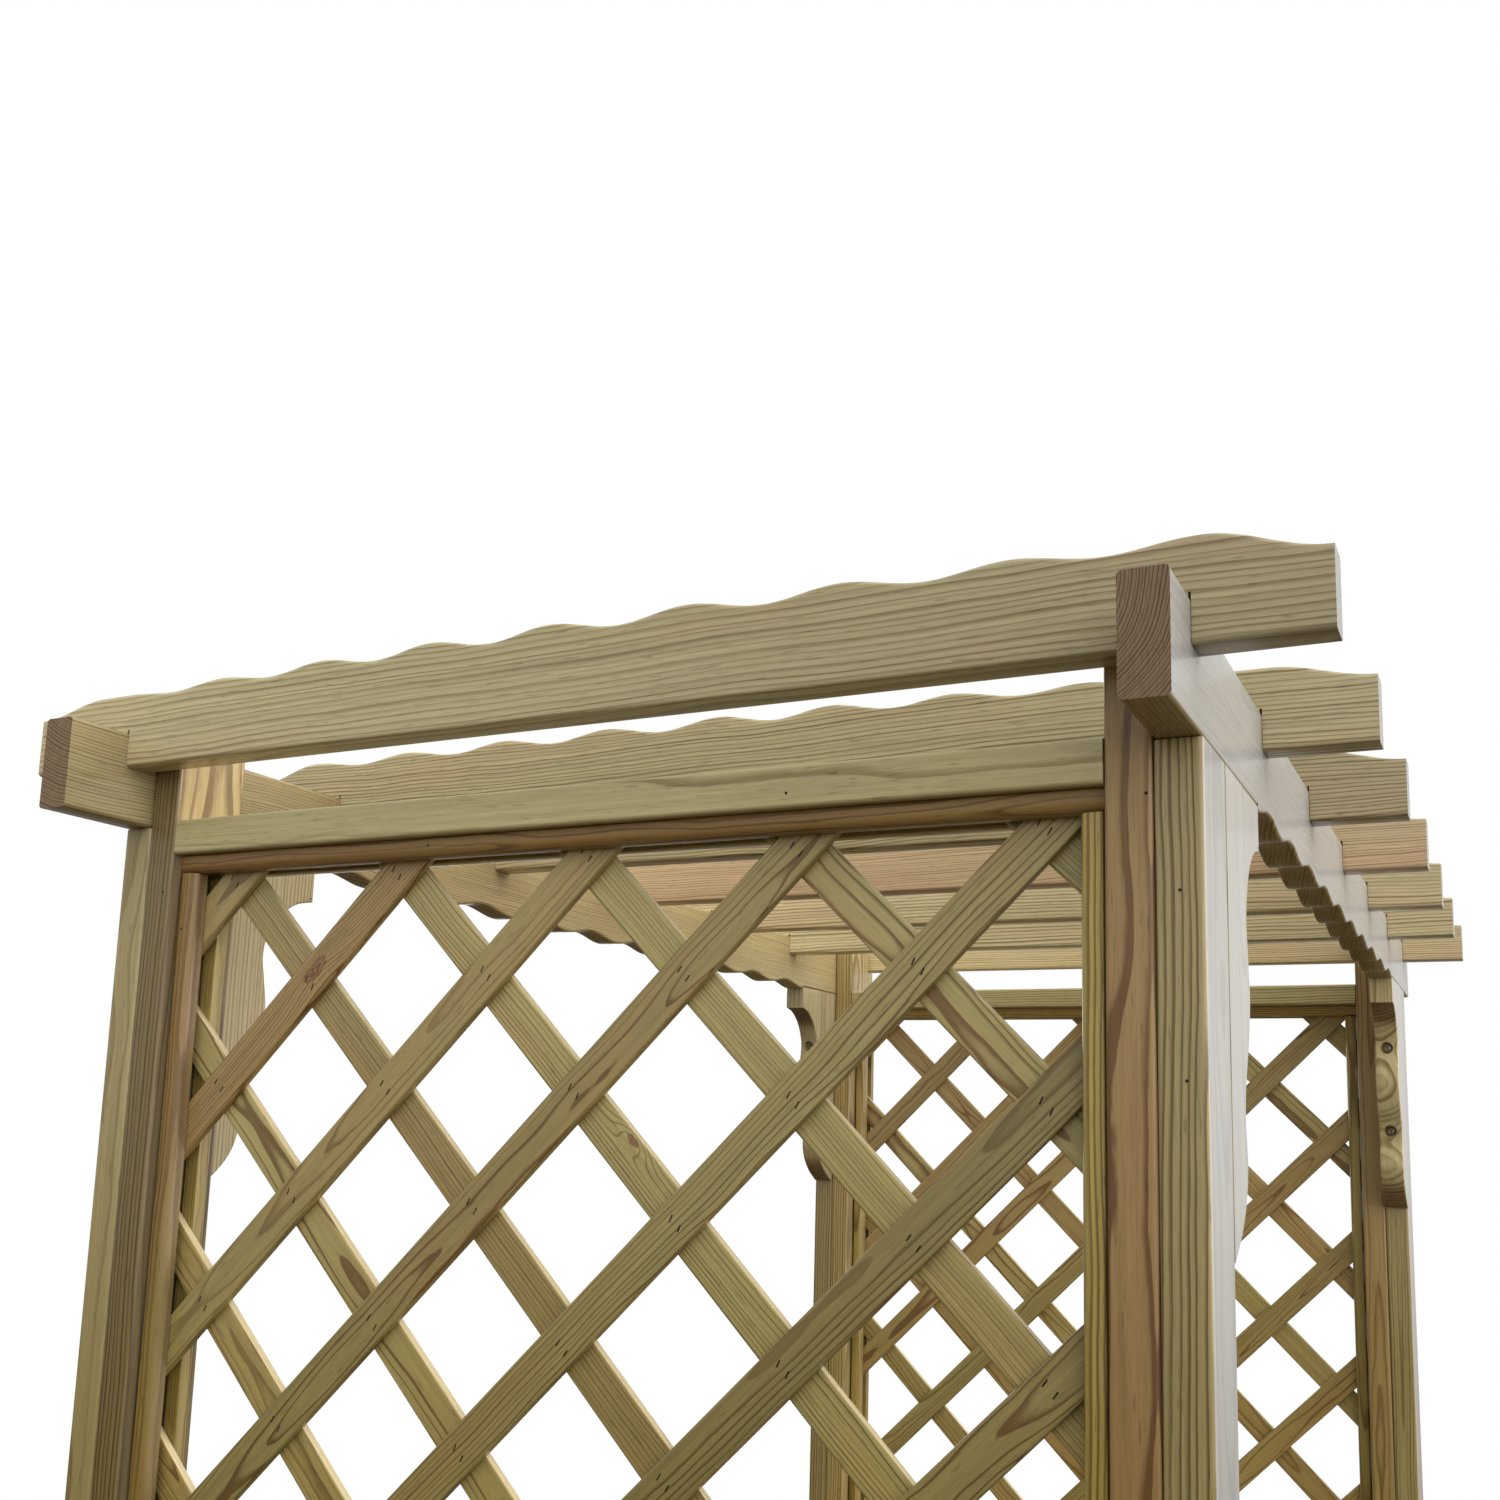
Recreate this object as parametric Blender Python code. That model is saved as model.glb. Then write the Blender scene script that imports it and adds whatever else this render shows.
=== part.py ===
"""Pergola arbour with two lattice end panels, softwood boards joined with screws.

Origin on the ground at the middle of the footprint, X along the rafters, Y along the
side beams, Z up. Lengths below are in millimetres and are turned into metres once.
"""

import math

import bmesh
import bpy
from mathutils import Vector

MM = 0.001

# Boards
BOARD_T = 38.0          # thickness of every board
BOARD_W = 97.0          # width of posts, stiles, rails and beams
BOARD_R = 4.0           # rounded long edges
ROUND_STEPS = 3         # facets in a quarter round of a straight board
PROFILE_STEPS = 1       # and of a board with a shaped outline
WAVE_STEPS = 6          # facets in one wave
GAP = 0.3               # clearance between touching pieces

# Side beams
BEAM_TOP = 2150.0
BEAM_LENGTH = 2258.0
BEAM_X = 563.0          # middle plane of a side beam
WAVE_HALF = 744.0       # the scalloped stretch ends just short of the brackets
WAVE_PITCH = 150.0
WAVE_COUNT = 10
WAVE_DEPTH = 10.0
WAVE_LOBE = 4.0         # how far the lobes hang below the plain ends
WAVE_SHIFT = 11.0       # both beams are cut alike and face opposite ways

# Rafters
RAFTER_COUNT = 7
RAFTER_PITCH = 345.0
RAFTER_HALF = 684.0
RAFTER_BELOW = 37.0     # how far a rafter reaches below the beam top
RAFTER_END_RISE = 28.0  # height of its ends over the beam top
RAFTER_CREST = 54.2     # height of the middle crest over the beam top
RAFTER_SHORT = (139.0, 10.0)      # wave length and fall of the last crest, tight side
RAFTER_LONG = (147.5, 5.0)        # the same on the side with longer waves
RAFTER_SIDE_WAVES = 4
RAFTER_DIP = 10.0       # depth of a trough under its crests
RAFTER_FADE = 0.6       # how much of the fall a trough doesn't follow
RAFTER_SHOULDER = 590.0  # from here the upper edge slopes down to the end
RAFTER_TURNED = (2, 3, 4, 6)      # rafters with the long waves on the left
NOTCH_SIDE = 0.4        # play each side of the beam in a notch

# Panel frame: posts, stiles, rails
POST_OUTER_Y = 1012.0   # outer face of posts and stiles
RAIL_TOP = 2059.0
LOW_RAIL_TOP = 128.0

# Beads and lattice
BEAD_W = 19.0
BEAD_D = 20.0
BEAD_ROUND = 9.0
BEAD_ARRIS = 1.5
BEAD_RECESS = 12.0
BEAD_PLAY = 3.5         # gap between stiles and upright beads
SLAT_W = 40.0
SLAT_T = 10.0
SLAT_BITE = 0.5         # the two layers of slats are pressed into each other
SLAT_PITCH = 223.0
SLAT_OFFSETS = {-1: (33.0, -22.0), 1: (34.0, -33.0)}  # X of a rising and a falling slat
LEAST_SLAT = 60.0       # a shorter corner piece would hang on nothing

# Brackets and their screws
BRACKET_REACH = 170.0
BRACKET_DROP = 400.0
BRACKET_R = 2.5         # rounded edges of the sawn outline
BRACKET_SCROLL = (      # outline below its upright face: (reach from post, drop)
    (BRACKET_REACH, 44.0), (140.0, 52.0), (112.0, 73.0), (96.0, 100.0), (92.0, 122.0),
    (97.0, 150.0), (102.0, 184.0), (92.0, 222.0), (74.0, 256.0), (67.0, 284.0),
    (71.0, 308.0), (73.0, 330.0), (62.0, 356.0), (38.0, 380.0), (4.0, BRACKET_DROP),
)
SCROLL_STEPS = 2        # facets between two points of the outline
SCREW_DROPS = (119.0, 265.0)      # screw heights below the beam underside
SCREW_SEATS = (83.0, 60.0)        # head seats, measured from the post face
SCREW_INTO_POST = 42.0
SHANK_R = 3.0
POINT_R = 0.6
POINT_L = 6.0
HEAD_R = 7.5
HEAD_H = 4.0
HEAD_EDGE = 1.5
RECESS_R = 2.4
RECESS_FLOOR_R = 1.4
RECESS_DEPTH = 2.2
COUNTERBORE_R = 10.5
HOLE_PLAY = 0.3
OVERCUT = 10.0          # how far a cutter runs past the wood
SCREW_SIDES = 12

FACE_Y = POST_OUTER_Y - BOARD_W   # inner face of posts and stiles
BEAM_BOTTOM = BEAM_TOP - BOARD_W
POST_INNER_X = BEAM_X - BOARD_T / 2
STILE_OUTER_X = POST_INNER_X - GAP
STILE_INNER_X = STILE_OUTER_X - BOARD_T
OPEN_X = STILE_INNER_X - GAP
OPEN_TOP = RAIL_TOP - BOARD_T - GAP
OPEN_BOTTOM = LOW_RAIL_TOP + GAP

WOOD = {
    "beam": (0.42, 0.36, 0.23),
    "rafter": (0.40, 0.34, 0.19),
    "post": (0.38, 0.32, 0.18),
    "stile": (0.42, 0.29, 0.17),
    "rail": (0.40, 0.35, 0.18),
    "bead": (0.36, 0.27, 0.12),
    "lattice": (0.37, 0.29, 0.15),
    "bracket": (0.43, 0.33, 0.18),
}
STEEL = (0.30, 0.24, 0.17)


def clear_scene():
    for obj in list(bpy.data.objects):
        bpy.data.objects.remove(obj)


def make_material(name, colour, roughness, metallic):
    material = bpy.data.materials.new(name)
    material.use_nodes = True
    shader = material.node_tree.nodes["Principled BSDF"]
    shader.inputs["Base Color"].default_value = (*colour, 1.0)
    shader.inputs["Roughness"].default_value = roughness
    shader.inputs["Metallic"].default_value = metallic
    return material


def add_object(name, points, faces, colour, roughness=0.72, metallic=0.0):
    """One closed body from points in millimetres, its faces turned outward."""
    mesh = bpy.data.meshes.new(name)
    mesh.from_pydata([Vector(p) * MM for p in points], [], faces)
    shell = bmesh.new()
    shell.from_mesh(mesh)
    bmesh.ops.recalc_face_normals(shell, faces=shell.faces)
    shell.to_mesh(mesh)
    shell.free()
    obj = bpy.data.objects.new(name, mesh)
    bpy.context.scene.collection.objects.link(obj)
    mesh.materials.append(make_material(name, colour, roughness, metallic))
    return obj


def smooth(obj):
    for polygon in obj.data.polygons:
        polygon.use_smooth = True


def loft(rings):
    """Points and faces of a closed body through rings with equal point counts."""
    count = len(rings[0])
    points = [p for ring in rings for p in ring]
    faces = []
    for r in range(len(rings) - 1):
        for i in range(count):
            j = (i + 1) % count
            a = r * count
            b = a + count
            faces.append((a + i, a + j, b + j, b + i))
    faces.append(tuple(reversed(range(count))))
    faces.append(tuple(range(len(points) - count, len(points))))
    return points, faces


def rounded_rectangle(x0, x1, y0, y1, radii):
    """Corner order: (x0, y0), (x1, y0), (x1, y1), (x0, y1)."""
    outline = []
    corners = ((x0, y0, 1, 1), (x1, y0, -1, 1), (x1, y1, -1, -1), (x0, y1, 1, -1))
    for index, (cx, cy, sx, sy) in enumerate(corners):
        radius = radii[index]
        start = math.pi + index * math.pi / 2
        for step in range(ROUND_STEPS + 1):
            angle = start + step * math.pi / 2 / ROUND_STEPS
            outline.append((
                cx + sx * radius + radius * math.cos(angle),
                cy + sy * radius + radius * math.sin(angle),
            ))
    return outline


def face_rings(outline, middle, radius):
    """Rings through the thickness of a board whose edges are rounded.

    An outline entry is (u, z, du, dz), where (du, dz) leads into the wood.
    """
    rings = []
    stations = [(-1, k) for k in range(PROFILE_STEPS, -1, -1)]
    stations += [(1, k) for k in range(PROFILE_STEPS + 1)]
    for side, k in stations:
        angle = k * math.pi / 2 / PROFILE_STEPS
        across = middle + side * (BOARD_T / 2 - radius + radius * math.sin(angle))
        inset = radius * (1 - math.cos(angle))
        rings.append([(across, u + du * inset, z + dz * inset) for u, z, du, dz in outline])
    return rings


def wave(u, pitch):
    """0 on a crest at u = 0 and 1 in the trough half a pitch away."""
    return 0.5 - 0.5 * math.cos(2 * math.pi * u / pitch)


def beam_outline(x_sign):
    half = BEAM_LENGTH / 2
    steps = WAVE_COUNT * WAVE_STEPS
    outline = [(-half, BEAM_TOP, 0, -1), (-half, BEAM_BOTTOM, 0, 1),
               (-WAVE_HALF, BEAM_BOTTOM, 0, 1)]
    for i in range(steps + 1):
        u = -WAVE_HALF + 2 * WAVE_HALF * i / steps
        lift = WAVE_DEPTH * wave(u - x_sign * WAVE_SHIFT, WAVE_PITCH) - WAVE_LOBE
        outline.append((u, BEAM_BOTTOM + lift, 0, 1))
    outline += [(WAVE_HALF, BEAM_BOTTOM, 0, 1), (half, BEAM_BOTTOM, 0, 1),
                (half, BEAM_TOP, 0, -1)]
    return outline


def build_beam(name, x_sign):
    rings = face_rings(beam_outline(x_sign), x_sign * BEAM_X, BOARD_R)
    add_object(name, *loft(rings), WOOD["beam"])


def rafter_crest(u):
    """Height of the wavy upper edge over the beam top, its longer waves at u > 0."""
    pitch, fall = RAFTER_LONG if u > 0 else RAFTER_SHORT
    reach = pitch * RAFTER_SIDE_WAVES
    u = abs(u)
    fallen = fall * min(u / reach, 1.0) ** 2
    if u <= reach:
        return RAFTER_CREST - fallen - (RAFTER_DIP - RAFTER_FADE * fallen) * wave(u, pitch)
    if u <= RAFTER_SHOULDER:
        return RAFTER_CREST - fallen
    left = (RAFTER_HALF - u) / (RAFTER_HALF - RAFTER_SHOULDER)
    return RAFTER_END_RISE + (RAFTER_CREST - fallen - RAFTER_END_RISE) * wave(left, 2.0)


def rafter_outline(turned):
    bottom = BEAM_TOP - RAFTER_BELOW
    seat = BEAM_TOP + GAP
    slot = BOARD_T / 2 + NOTCH_SIDE
    outline = [(-RAFTER_HALF, bottom, 0, 1)]
    for middle in (-BEAM_X, BEAM_X):
        outline += [
            (middle - slot, bottom, 0, 1),
            (middle - slot, seat, 0, 0),
            (middle + slot, seat, 0, 0),
            (middle + slot, bottom, 0, 1),
        ]
    outline.append((RAFTER_HALF, bottom, 0, 1))
    steps = (2 * RAFTER_SIDE_WAVES + 1) * WAVE_STEPS
    for i in range(steps + 1):
        u = RAFTER_HALF - 2 * RAFTER_HALF * i / steps
        outline.append((u, BEAM_TOP + rafter_crest(-u if turned else u), 0, -1))
    return outline


def build_rafter(name, y, turned):
    rings = face_rings(rafter_outline(turned), y, BOARD_R)
    along_x = [[(u, across, z) for across, u, z in ring] for ring in rings]
    add_object(name, *loft(along_x), WOOD["rafter"])


def span(sign, near, far):
    """The stretch from near to far, on the positive or the negative side."""
    return (near, far) if sign > 0 else (-far, -near)


def upright(name, x_range, y_range, z0, z1, colour):
    outline = rounded_rectangle(*x_range, *y_range, (BOARD_R,) * 4)
    rings = [[(x, y, z) for x, y in outline] for z in (z0, z1)]
    return add_object(name, *loft(rings), colour)


def cylinder_along_y(name, x, z, y0, y1, radius):
    rings = []
    for y in (y0, y1):
        rings.append([
            (x + radius * math.cos(2 * math.pi * i / SCREW_SIDES), y,
             z + radius * math.sin(2 * math.pi * i / SCREW_SIDES))
            for i in range(SCREW_SIDES)
        ])
    cutter = add_object(name, *loft(rings), STEEL)
    cutter.hide_render = True
    cutter.display_type = "WIRE"
    return cutter


def cut(obj, cutter):
    modifier = obj.modifiers.new(cutter.name, "BOOLEAN")
    modifier.operation = "DIFFERENCE"
    modifier.solver = "EXACT"
    modifier.object = cutter


def screw_line(index, y_sign):
    """Height of a bracket screw and the Y of its head seat and its tip."""
    z = BEAM_BOTTOM - SCREW_DROPS[index]
    seat = y_sign * (FACE_Y - GAP - SCREW_SEATS[index])
    tip = y_sign * (FACE_Y + SCREW_INTO_POST)
    return z, seat, tip


def build_post(name, x_sign, y_sign):
    post = upright(
        name,
        span(x_sign, POST_INNER_X, POST_INNER_X + BOARD_T),
        span(y_sign, FACE_Y, POST_OUTER_Y),
        0.0,
        BEAM_BOTTOM - GAP,
        WOOD["post"],
    )
    for index in range(len(SCREW_DROPS)):
        z, _, tip = screw_line(index, y_sign)
        start = y_sign * (FACE_Y - OVERCUT)
        end = tip + y_sign * HOLE_PLAY
        hole = cylinder_along_y(
            f"{name}_pilot_{index}", x_sign * BEAM_X, z, start, end, SHANK_R + HOLE_PLAY
        )
        cut(post, hole)


def build_stile(name, x_sign, y_sign):
    upright(
        name,
        span(x_sign, STILE_INNER_X, STILE_OUTER_X),
        span(y_sign, FACE_Y, POST_OUTER_Y),
        0.0,
        BEAM_TOP,
        WOOD["stile"],
    )


def build_rail(name, y_sign, z_top):
    outline = rounded_rectangle(
        *span(y_sign, FACE_Y, POST_OUTER_Y), z_top - BOARD_T, z_top, (BOARD_R,) * 4
    )
    rings = [[(x, y, z) for y, z in outline] for x in (-OPEN_X, OPEN_X)]
    add_object(name, *loft(rings), WOOD["rail"])


def bead_span(y_sign, outside):
    """Y range of a bead, on the outer or the inner side of the lattice."""
    far = POST_OUTER_Y - BEAD_RECESS
    if not outside:
        far -= BEAD_D + 2 * SLAT_T - SLAT_BITE + 2 * GAP
    return span(y_sign, far - BEAD_D, far)


def bead_radii(round_low_y, round_first):
    """Corner radii, the large one turned away from the lattice and into the opening."""
    radii = [BEAD_ARRIS] * 4
    if round_low_y:
        corner = 0 if round_first else 1
    else:
        corner = 3 if round_first else 2
    radii[corner] = BEAD_ROUND
    return radii


def build_upright_bead(name, x_sign, y_sign, outside):
    y_range = bead_span(y_sign, outside)
    low_y = (y_sign < 0) == outside
    x_range = span(x_sign, OPEN_X - BEAD_PLAY - BEAD_W, OPEN_X - BEAD_PLAY)
    outline = rounded_rectangle(*x_range, *y_range, bead_radii(low_y, x_sign > 0))
    z_range = (OPEN_BOTTOM + BEAD_W + GAP, OPEN_TOP - BEAD_W - GAP)
    rings = [[(x, y, z) for x, y in outline] for z in z_range]
    add_object(name, *loft(rings), WOOD["bead"])


def build_level_bead(name, y_sign, outside, top):
    y0, y1 = bead_span(y_sign, outside)
    low_y = (y_sign < 0) == outside
    z0 = OPEN_TOP - BEAD_W if top else OPEN_BOTTOM
    outline = rounded_rectangle(z0, z0 + BEAD_W, y0, y1, bead_radii(low_y, top))
    rings = [[(x, y, z) for z, y in outline] for x in (-OPEN_X, OPEN_X)]
    add_object(name, *loft(rings), WOOD["bead"])


def clip(polygon, inside, cross):
    """Keep the part of a convex polygon on the inner side of one line."""
    kept = []
    for i, p in enumerate(polygon):
        q = polygon[(i + 1) % len(polygon)]
        if inside(p):
            kept.append(p)
        if inside(p) != inside(q):
            kept.append(cross(p, q))
    return kept


def clip_to_opening(polygon):
    for axis, limit, sign in (
        (0, OPEN_X, 1), (0, -OPEN_X, -1), (1, OPEN_TOP, 1), (1, OPEN_BOTTOM, -1)
    ):
        def inside(p):
            return sign * p[axis] <= sign * limit

        def cross(p, q):
            t = (limit - p[axis]) / (q[axis] - p[axis])
            return (p[0] + t * (q[0] - p[0]), p[1] + t * (q[1] - p[1]))

        if polygon:
            polygon = clip(polygon, inside, cross)
    return polygon


def slat_outlines(slope, offset):
    """Slats at 45 degrees, cut off at the edges of the panel opening."""
    height = OPEN_TOP - OPEN_BOTTOM
    half = SLAT_W / math.sqrt(2)
    reach = height + OPEN_X
    rail = RAIL_TOP - BOARD_T
    most = math.ceil((height + 2 * OPEN_X) / SLAT_PITCH)
    slats = []
    for k in range(-most, most + 1):
        head = offset + SLAT_PITCH * k
        strip = [
            (head - half + slope * reach, rail + reach),
            (head - half - slope * reach, rail - reach),
            (head + half - slope * reach, rail - reach),
            (head + half + slope * reach, rail + reach),
        ]
        piece = clip_to_opening(strip)
        if piece and max(x for x, _ in piece) - min(x for x, _ in piece) > LEAST_SLAT:
            slats.append(piece)
    return slats


def slat_layer(name, slope, offset, y0):
    points, faces = [], []
    for piece in slat_outlines(slope, offset):
        base = len(points)
        rings = [[(x, y, z) for x, z in piece] for y in (y0, y0 + SLAT_T)]
        more, sides = loft(rings)
        points += more
        faces += [tuple(base + i for i in face) for face in sides]
    return add_object(name, points, faces, WOOD["lattice"])


def build_lattice(name, y_sign):
    """Rising slats face -Y and falling slats lie behind them, one body when pinned."""
    front = bead_span(y_sign, y_sign < 0)[1] + GAP
    back = front + SLAT_T - SLAT_BITE
    rising_offset, falling_offset = SLAT_OFFSETS[y_sign]
    rising = slat_layer(name, 1, rising_offset, front)
    falling = slat_layer(f"{name}_falling", -1, falling_offset, back)
    falling.hide_render = True
    falling.display_type = "WIRE"
    modifier = rising.modifiers.new("pinned", "BOOLEAN")
    modifier.operation = "UNION"
    modifier.solver = "EXACT"
    modifier.object = falling


def curve_through(points, steps):
    """Smooth curve through points (Catmull-Rom), both ends included."""
    padded = [points[0], *points, points[-1]]
    result = []
    for i in range(len(points) - 1):
        p0, p1, p2, p3 = padded[i:i + 4]
        for step in range(steps):
            t = step / steps
            result.append((
                2 * p1 + (p2 - p0) * t + (2 * p0 - 5 * p1 + 4 * p2 - p3) * t * t
                + (3 * p1 - p0 - 3 * p2 + p3) * t * t * t
            ) / 2)
    result.append(points[-1])
    return result


def bracket_outline(y_sign):
    """Upright face, then the scroll down to the post, as seen from the side."""
    curve = curve_through([Vector(p) for p in BRACKET_SCROLL], SCROLL_STEPS)
    top = BEAM_BOTTOM - GAP
    back = FACE_Y - GAP
    outline = [(back, top, 0, 0), (back - BRACKET_REACH, top, 1, 0)]
    for i, p in enumerate(curve):
        along = (curve[min(i + 1, len(curve) - 1)] - curve[max(i - 1, 0)]).normalized()
        outline.append((back - p.x, top - p.y, along.y, -along.x))
    outline.append((back, top - BRACKET_DROP, 0, 1))
    return [(y_sign * u, z, y_sign * du, dz) for u, z, du, dz in outline]


def build_bracket(name, x_sign, y_sign):
    x = x_sign * BEAM_X
    rings = face_rings(bracket_outline(y_sign), x, BRACKET_R)
    bracket = add_object(name, *loft(rings), WOOD["bracket"])
    outside = y_sign * (FACE_Y - BRACKET_REACH - OVERCUT)
    through = y_sign * (FACE_Y + OVERCUT)
    for index in range(len(SCREW_DROPS)):
        z, seat, _ = screw_line(index, y_sign)
        bore = cylinder_along_y(f"{name}_bore_{index}", x, z, outside, seat, COUNTERBORE_R)
        hole = cylinder_along_y(
            f"{name}_hole_{index}", x, z, outside, through, SHANK_R + HOLE_PLAY
        )
        cut(bracket, bore)
        cut(bracket, hole)


def build_screw(name, x_sign, y_sign, index):
    """Pan head with a conical drive recess, shank and point, turned about Y."""
    z, seat, tip = screw_line(index, y_sign)
    under = seat - y_sign * HOLE_PLAY
    outer = under - y_sign * HEAD_H
    profile = (
        (RECESS_FLOOR_R, outer + y_sign * RECESS_DEPTH),
        (RECESS_R, outer),
        (HEAD_R - HEAD_EDGE, outer),
        (HEAD_R, outer + y_sign * HEAD_EDGE),
        (HEAD_R, under),
        (SHANK_R, under),
        (SHANK_R, tip - y_sign * POINT_L),
        (POINT_R, tip),
    )
    rings = []
    for radius, y in profile:
        rings.append([
            (x_sign * BEAM_X + radius * math.cos(2 * math.pi * i / SCREW_SIDES), y,
             z + radius * math.sin(2 * math.pi * i / SCREW_SIDES))
            for i in range(SCREW_SIDES)
        ])
    smooth(add_object(name, *loft(rings), STEEL, 0.45, 0.9))


def build():
    clear_scene()
    sides = (("left", -1), ("right", 1))
    ends = (("front", -1), ("back", 1))
    for side, x_sign in sides:
        build_beam(f"beam_{side}", x_sign)
    for number in range(1, RAFTER_COUNT + 1):
        y = RAFTER_PITCH * (number - (RAFTER_COUNT + 1) / 2)
        build_rafter(f"rafter_{number}", y, number in RAFTER_TURNED)
    for end, y_sign in ends:
        for side, x_sign in sides:
            build_post(f"post_{end}_{side}", x_sign, y_sign)
            build_stile(f"stile_{end}_{side}", x_sign, y_sign)
            build_bracket(f"bracket_{end}_{side}", x_sign, y_sign)
            for index, level in enumerate(("upper", "lower")):
                build_screw(f"screw_{end}_{side}_{level}", x_sign, y_sign, index)
        build_rail(f"rail_{end}_top", y_sign, RAIL_TOP)
        build_rail(f"rail_{end}_bottom", y_sign, LOW_RAIL_TOP)
        for face, outside in (("outer", True), ("inner", False)):
            for side, x_sign in sides:
                build_upright_bead(f"bead_{end}_{face}_{side}", x_sign, y_sign, outside)
            build_level_bead(f"bead_{end}_{face}_top", y_sign, outside, True)
            build_level_bead(f"bead_{end}_{face}_bottom", y_sign, outside, False)
        build_lattice(f"lattice_{end}", y_sign)


build()
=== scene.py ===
import math
import random

import bmesh
import bpy
import numpy as np
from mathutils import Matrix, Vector


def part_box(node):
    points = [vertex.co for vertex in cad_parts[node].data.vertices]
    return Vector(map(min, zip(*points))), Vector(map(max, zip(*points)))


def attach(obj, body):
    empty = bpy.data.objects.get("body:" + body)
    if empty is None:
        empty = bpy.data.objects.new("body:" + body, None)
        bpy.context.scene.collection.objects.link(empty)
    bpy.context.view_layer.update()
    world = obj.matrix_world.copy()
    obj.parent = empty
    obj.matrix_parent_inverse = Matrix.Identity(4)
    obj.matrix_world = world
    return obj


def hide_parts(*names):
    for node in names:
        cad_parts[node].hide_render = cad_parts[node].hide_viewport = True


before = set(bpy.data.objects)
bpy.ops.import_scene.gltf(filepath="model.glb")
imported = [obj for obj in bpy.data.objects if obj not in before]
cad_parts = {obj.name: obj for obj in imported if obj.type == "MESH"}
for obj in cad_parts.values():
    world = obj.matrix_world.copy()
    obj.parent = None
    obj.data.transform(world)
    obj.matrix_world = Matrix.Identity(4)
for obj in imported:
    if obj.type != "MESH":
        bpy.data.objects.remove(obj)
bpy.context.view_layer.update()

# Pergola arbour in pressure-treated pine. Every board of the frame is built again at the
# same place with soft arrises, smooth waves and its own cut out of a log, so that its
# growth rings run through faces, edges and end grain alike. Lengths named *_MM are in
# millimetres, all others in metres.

MM = 0.001
FAR = 10.0                  # larger than the arbour
X, Y, Z = Vector((1, 0, 0)), Vector((0, 1, 0)), Vector((0, 0, 1))
UP, DOWN = Vector((0, 1)), Vector((0, -1))      # in the plane of a board's face
ENDS = (("front", -1), ("back", 1))
SIDES = (("left", -1), ("right", 1))
RAFTERS = 7

# Rounding of the boards
ARRIS = 4.0 * MM
ROUND_STEPS = 6
FLAT_MARGIN = 3.0 * MM      # flat strip that keeps the shading of a rounding to itself
SHARP_ANGLE = math.radians(32)
END_CHAMFER = 0.4 * MM
SAWN_FROM, SAWN_FULL = 0.45, 0.80         # how far a face looks along the fibres

# Waves, as cut into the frame's boards
WAVE_STEPS = 20
BEAM_WAVE = 150.0 * MM
BEAM_WAVES = 10
BEAM_WAVE_HALF = 744.0 * MM
BEAM_WAVE_DEPTH = 10.0 * MM
BEAM_LOBE = 4.0 * MM
BEAM_WAVE_SHIFT = 11.0 * MM
RAFTER_END_RISE = 28.0 * MM
RAFTER_CREST = 54.2 * MM
RAFTER_SHORT = (139.0 * MM, 10.0 * MM)    # wave length and fall of the last crest
RAFTER_LONG = (147.5 * MM, 5.0 * MM)
RAFTER_SIDE_WAVES = 4
RAFTER_DIP = 10.0 * MM
RAFTER_FADE = 0.6
RAFTER_SHOULDER = 590.0 * MM
RAFTER_TURNED = (2, 3, 4, 6)
NOTCH_SIDE = 0.4 * MM
SEAT_GAP = 0.3 * MM
NOTCH_RELIEF = (2.0 * MM, 3.5 * MM)       # width and height of the saw cut in its corners

# Beads
BEAD_ROUND = 9.0 * MM
BEAD_ARRIS = 1.5 * MM

# Lattice
SLAT_W = 40.0 * MM
SLAT_T = 9.7 * MM
SLAT_ARRIS = 1.6 * MM
SLAT_PITCH = 223.0 * MM
SLAT_OFFSETS = {            # by end, for the rising and the falling layer
    -1: (33.0 * MM, -22.0 * MM), 1: (34.0 * MM, -33.0 * MM),
}
LEAST_SLAT = 60.0 * MM
SLAT_ROUND_STEPS = 3
SLAT_FLAT_SHARE = 0.75      # share of slats cut flat across the rings
SLAT_TONE = {               # what a layer adds to the (warmth, depth) of its slats
    ("front", 1): (0.0, 0.12), ("front", -1): (0.0, -0.05),
    ("back", 1): (0.25, -0.06), ("back", -1): (0.20, -0.18),
}
SLAT_MARGIN = 1.5 * MM
SLAT_KNOTS = {              # (x, z, radius), then the warmth of the slat
    ("front", 1): ((-320.3 * MM, 1893.5 * MM, 9.0 * MM), 1.0),
    ("front", -1): ((66.0 * MM, 1730.0 * MM, 3.8 * MM), 0.1),
}
STAPLE_L = 8.0 * MM
STAPLE_W = 1.9 * MM
# (share of the length, height), then (share of the width, height)
STAPLE_PROFILE = ((-0.5, -0.3 * MM), (-0.42, 0.15 * MM), (0.42, 0.15 * MM), (0.5, -0.3 * MM))
STAPLE_SECTION = ((-0.5, -0.6 * MM), (-0.32, 0.0), (0.32, 0.0), (0.5, -0.6 * MM))
STAPLE_APART = 12.0 * MM
STAPLE_TURN = math.radians(60)
STAPLE_SWING = 9.0          # degrees either way
STAPLE_STRAY = (4.0 * MM, 5.0 * MM)       # either way, along x and z

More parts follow.
